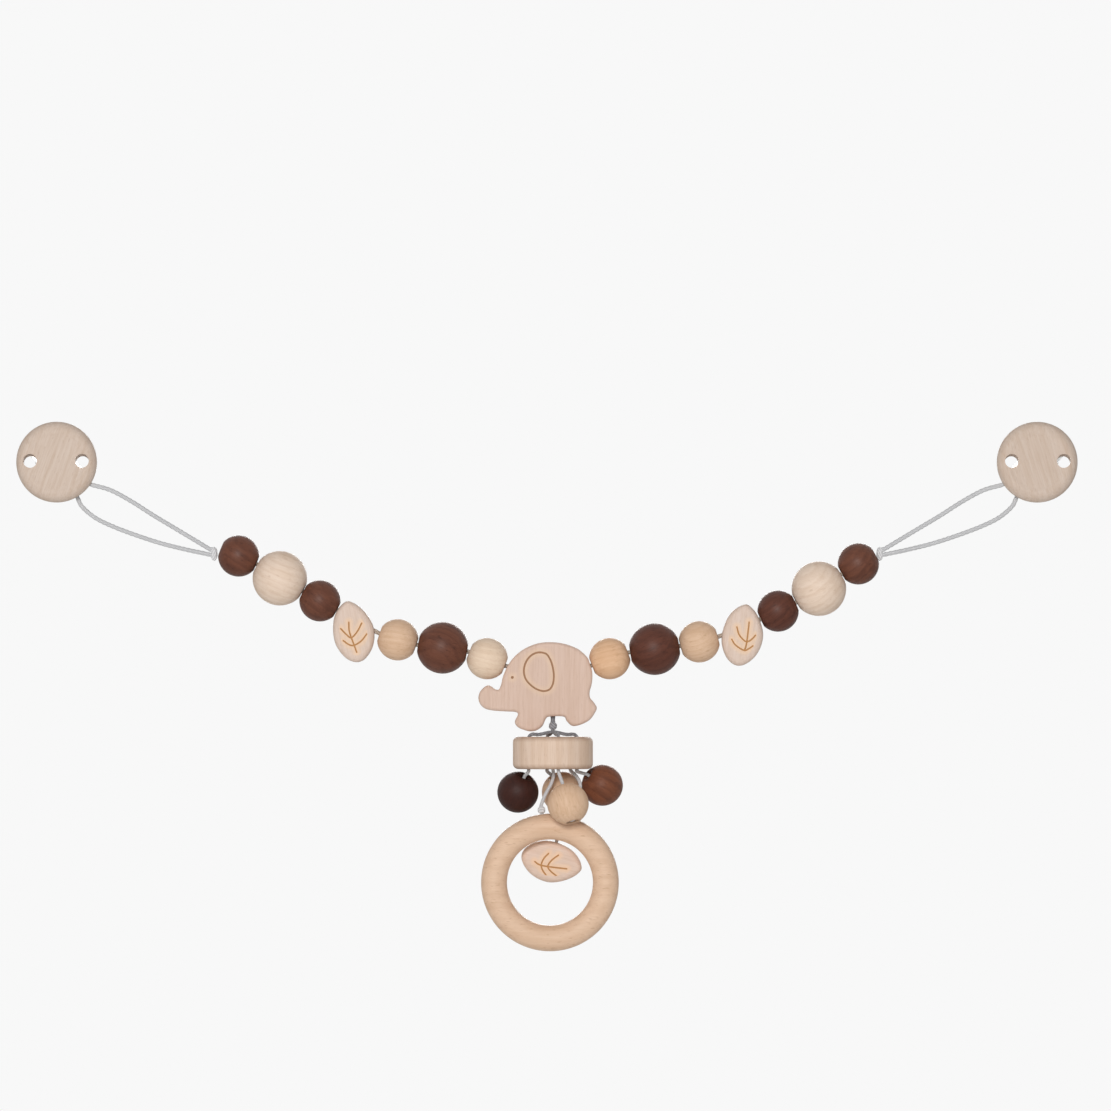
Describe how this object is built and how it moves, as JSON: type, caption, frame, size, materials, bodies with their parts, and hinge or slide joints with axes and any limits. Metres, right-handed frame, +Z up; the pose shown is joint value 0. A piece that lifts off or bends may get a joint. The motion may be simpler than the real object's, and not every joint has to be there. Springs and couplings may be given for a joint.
{
  "type": "pram chain toy",
  "caption": "Wooden chain toy that clips across a pram, with beads, leaf beads, a sawn elephant and a teething ring on cords.",
  "frame": {"origin": "middle of the left clip's jaw, between its pad and its lever's nose", "axes": "+X along the chain to the right clip, +Y to the back, where the clips' levers are, +Z up"},
  "size_m": [0.4663, 0.0469, 0.2328],
  "materials": {
    "clip_wood": "pale sanded wood, unvarnished, fine vertical grain",
    "elephant_wood": "pale sanded beech, fine flecks, satin",
    "disc_wood": "pale turned wood with grain lines, satin",
    "natural_wood": "turned natural wood with a thin satin finish",
    "walnut_wood": "turned dark walnut with reddish streaks, satin",
    "leaf_wood": "pale sanded wood with burnt veins",
    "ring_wood": "turned beech with small flecks, satin",
    "cord": "light grey braided cord",
    "steel": "plated spring steel, bright",
    "jaw_pads": "soft white plastic"
  },
  "bodies": {
    "clips": {"left_clip_disc": "clip_wood", "left_clip_jaw": "steel", "left_clip_pin": "steel", "left_clip_screw_1": "steel", "left_clip_screw_2": "steel", "left_jaw_pad": "jaw_pads", "right_clip_disc": "clip_wood", "right_clip_jaw": "steel", "right_clip_pin": "steel", "right_clip_screw_1": "steel", "right_clip_screw_2": "steel", "right_jaw_pad": "jaw_pads"},
    "left_lever": {"left_clip_lever": "steel"},
    "right_lever": {"right_clip_lever": "steel"},
    "chain": {"main_cord": "cord", "left_loop_cord": "cord", "right_loop_cord": "cord", "left_loop_knot": "cord", "right_loop_knot": "cord"},
    "left_bead_1": {"left_bead_1": "natural_wood"},
    "left_bead_2": {"left_bead_2": "walnut_wood"},
    "left_bead_3": {"left_bead_3": "natural_wood"},
    "left_bead_4": {"left_bead_4": "walnut_wood"},
    "left_bead_5": {"left_bead_5": "natural_wood"},
    "left_bead_6": {"left_bead_6": "walnut_wood"},
    "left_leaf_bead": {"left_leaf_bead": "leaf_wood"},
    "right_bead_1": {"right_bead_1": "natural_wood"},
    "right_bead_2": {"right_bead_2": "walnut_wood"},
    "right_bead_3": {"right_bead_3": "natural_wood"},
    "right_bead_4": {"right_bead_4": "walnut_wood"},
    "right_bead_5": {"right_bead_5": "natural_wood"},
    "right_bead_6": {"right_bead_6": "walnut_wood"},
    "right_leaf_bead": {"right_leaf_bead": "leaf_wood"},
    "elephant": {"elephant": "elephant_wood"},
    "hanging_cord": {"hanging_cord": "cord"},
    "gather_knot": {"gather_knot": "cord"},
    "pendant_disc": {"pendant_disc": "disc_wood", "disc_sling": "cord"},
    "pendant_left_cord": {"pendant_left_cord": "cord"},
    "pendant_left_bead": {"pendant_left_bead": "walnut_wood"},
    "pendant_right_cord": {"pendant_right_cord": "cord"},
    "pendant_right_bead": {"pendant_right_bead": "walnut_wood"},
    "pendant_front_cord": {"pendant_front_cord": "cord"},
    "pendant_front_bead": {"pendant_front_bead": "natural_wood"},
    "pendant_back_cord": {"pendant_back_cord": "cord"},
    "pendant_back_bead": {"pendant_back_bead": "natural_wood"},
    "ring_cord": {"ring_cord": "cord"},
    "teething_ring": {"teething_ring": "ring_wood", "ring_knot": "cord"},
    "leaf_cord": {"leaf_cord": "cord"},
    "hanging_leaf": {"hanging_leaf": "leaf_wood"}
  },
  "joints": [
    {"name": "left_lever_turn", "type": "hinge", "parent": "clips", "child": "left_lever", "pos_m": [0, 0.0031, 0], "axis": [0.7314, 0, 0.682], "range_deg": [0, 80]},
    {"name": "right_lever_turn", "type": "hinge", "parent": "clips", "child": "right_lever", "pos_m": [0.43834, 0.0031, -0.00003], "axis": [0.7314, 0, -0.682], "range_deg": [0, 80]},
    {"name": "chain_swing", "type": "hinge", "parent": "clips", "child": "chain", "pos_m": [0.01398, 0.0007, -0.01499], "axis": [1, 0, 0], "range_deg": [-60, 60], "deforming": ["left_loop_cord", "right_loop_cord"]},
    {"name": "left_bead_1_spin", "type": "hinge", "parent": "chain", "child": "left_bead_1", "pos_m": [0.19288, 0.0007, -0.09034], "axis": [-0.9272, 0, 0.3746], "continuous": true},
    {"name": "left_bead_2_spin", "type": "hinge", "parent": "chain", "child": "left_bead_2", "pos_m": [0.17326, 0.0007, -0.08556], "axis": [-0.9863, 0, 0.165], "continuous": true},
    {"name": "left_bead_3_spin", "type": "hinge", "parent": "chain", "child": "left_bead_3", "pos_m": [0.15355, 0.0007, -0.08204], "axis": [-0.9455, 0, 0.3256], "continuous": true},
    {"name": "left_bead_4_spin", "type": "hinge", "parent": "chain", "child": "left_bead_4", "pos_m": [0.11933, 0.0007, -0.06491], "axis": [-0.8829, 0, 0.4695], "continuous": true},
    {"name": "left_bead_5_spin", "type": "hinge", "parent": "chain", "child": "left_bead_5", "pos_m": [0.10167, 0.0007, -0.05496], "axis": [-0.8704, 0, 0.4924], "continuous": true},
    {"name": "left_bead_6_spin", "type": "hinge", "parent": "chain", "child": "left_bead_6", "pos_m": [0.08357, 0.0007, -0.04517], "axis": [-0.9272, 0, 0.3746], "continuous": true},
    {"name": "left_leaf_bead_spin", "type": "hinge", "parent": "chain", "child": "left_leaf_bead", "pos_m": [0.13617, 0.0007, -0.07408], "axis": [-0.8746, 0, 0.4849], "continuous": true},
    {"name": "right_bead_1_spin", "type": "hinge", "parent": "chain", "child": "right_bead_1", "pos_m": [0.24682, 0.0007, -0.09034], "axis": [0.9336, 0, 0.3584], "continuous": true},
    {"name": "right_bead_2_spin", "type": "hinge", "parent": "chain", "child": "right_bead_2", "pos_m": [0.26655, 0.0007, -0.08615], "axis": [0.9877, 0, 0.1564], "continuous": true},
    {"name": "right_bead_3_spin", "type": "hinge", "parent": "chain", "child": "right_bead_3", "pos_m": [0.28616, 0.0007, -0.08293], "axis": [0.9659, 0, 0.2588], "continuous": true},
    {"name": "right_bead_4_spin", "type": "hinge", "parent": "chain", "child": "right_bead_4", "pos_m": [0.32086, 0.0007, -0.06941], "axis": [0.9063, 0, 0.4226], "continuous": true},
    {"name": "right_bead_5_spin", "type": "hinge", "parent": "chain", "child": "right_bead_5", "pos_m": [0.33883, 0.0007, -0.05957], "axis": [0.8616, 0, 0.5075], "continuous": true},
    {"name": "right_bead_6_spin", "type": "hinge", "parent": "chain", "child": "right_bead_6", "pos_m": [0.35619, 0.0007, -0.04864], "axis": [0.8829, 0, 0.4695], "continuous": true},
    {"name": "right_leaf_bead_spin", "type": "hinge", "parent": "chain", "child": "right_leaf_bead", "pos_m": [0.30376, 0.0007, -0.07686], "axis": [0.9248, 0, 0.3804], "continuous": true},
    {"name": "elephant_tilt", "type": "hinge", "parent": "chain", "child": "elephant", "pos_m": [0.21998, 0.0007, -0.09394], "axis": [1, 0, 0], "range_deg": [-12, 12]},
    {"name": "hanging_cord_swing", "type": "hinge", "parent": "elephant", "child": "hanging_cord", "pos_m": [0.2218, 0.0007, -0.11584], "axis": [1, 0, 0], "range_deg": [-6, 6]},
    {"name": "gather_knot_swing", "type": "hinge", "parent": "hanging_cord", "child": "gather_knot", "pos_m": [0.2218, 0.0007, -0.11994], "axis": [0, 1, 0], "range_deg": [-2, 2]},
    {"name": "pendant_disc_spin", "type": "hinge", "parent": "gather_knot", "child": "pendant_disc", "pos_m": [0.2218, 0.0007, -0.1318], "axis": [0, 0, 1], "continuous": true},
    {"name": "pendant_left_cord_swing", "type": "hinge", "parent": "pendant_disc", "child": "pendant_left_cord", "pos_m": [0.21108, -0.00177, -0.1389], "axis": [0.76, 0.65, 0], "range_deg": [0, 5]},
    {"name": "pendant_left_bead_spin", "type": "hinge", "parent": "pendant_left_cord", "child": "pendant_left_bead", "pos_m": [0.2064, 0.0037, -0.1491], "axis": [0.3572, -0.4177, 0.8354], "continuous": true},
    {"name": "pendant_right_cord_swing", "type": "hinge", "parent": "pendant_disc", "child": "pendant_right_cord", "pos_m": [0.23251, 0.00317, -0.1389], "axis": [0.413, -0.9107, 0], "range_deg": [0, 8]},
    {"name": "pendant_right_bead_spin", "type": "hinge", "parent": "pendant_right_cord", "child": "pendant_right_bead", "pos_m": [0.2436, 0.0082, -0.1461], "axis": [-0.7624, -0.3458, 0.547], "continuous": true},
    {"name": "pendant_front_cord_swing", "type": "hinge", "parent": "pendant_disc", "child": "pendant_front_cord", "pos_m": [0.22427, -0.01002, -0.1389], "axis": [-0.6757, -0.7371, 0], "range_deg": [0, 20]},
    {"name": "pendant_front_bead_spin", "type": "hinge", "parent": "pendant_front_cord", "child": "pendant_front_bead", "pos_m": [0.2284, -0.0138, -0.154], "axis": [-0.2454, 0.225, 0.9429], "continuous": true},
    {"name": "pendant_back_cord_swing", "type": "hinge", "parent": "pendant_disc", "child": "pendant_back_cord", "pos_m": [0.21932, 0.01142, -0.1389], "axis": [0.4625, -0.8866, 0], "range_deg": [0, 6]},
    {"name": "pendant_back_bead_spin", "type": "hinge", "parent": "pendant_back_cord", "child": "pendant_back_bead", "pos_m": [0.226, 0.0149, -0.1492], "axis": [-0.4992, -0.2604, 0.8264], "continuous": true},
    {"name": "ring_cord_swing", "type": "hinge", "parent": "pendant_disc", "child": "ring_cord", "pos_m": [0.2218, 0.0007, -0.1389], "axis": [0, 1, 0], "range_deg": [-4, 4]},
    {"name": "teething_ring_swing", "type": "hinge", "parent": "ring_cord", "child": "teething_ring", "pos_m": [0.21678, 0.0007, -0.15691], "axis": [-1, 0, 0], "range_deg": [0, 25]},
    {"name": "leaf_cord_swing", "type": "hinge", "parent": "pendant_disc", "child": "leaf_cord", "pos_m": [0.2295, 0.0071, -0.1389], "axis": [1, 0, 0], "range_deg": [0, 10]},
    {"name": "hanging_leaf_turn", "type": "hinge", "parent": "leaf_cord", "child": "hanging_leaf", "pos_m": [0.2212, 0.0126, -0.1801], "axis": [0.2351, 0, 0.972], "range_deg": [-12, 12]}
  ]
}
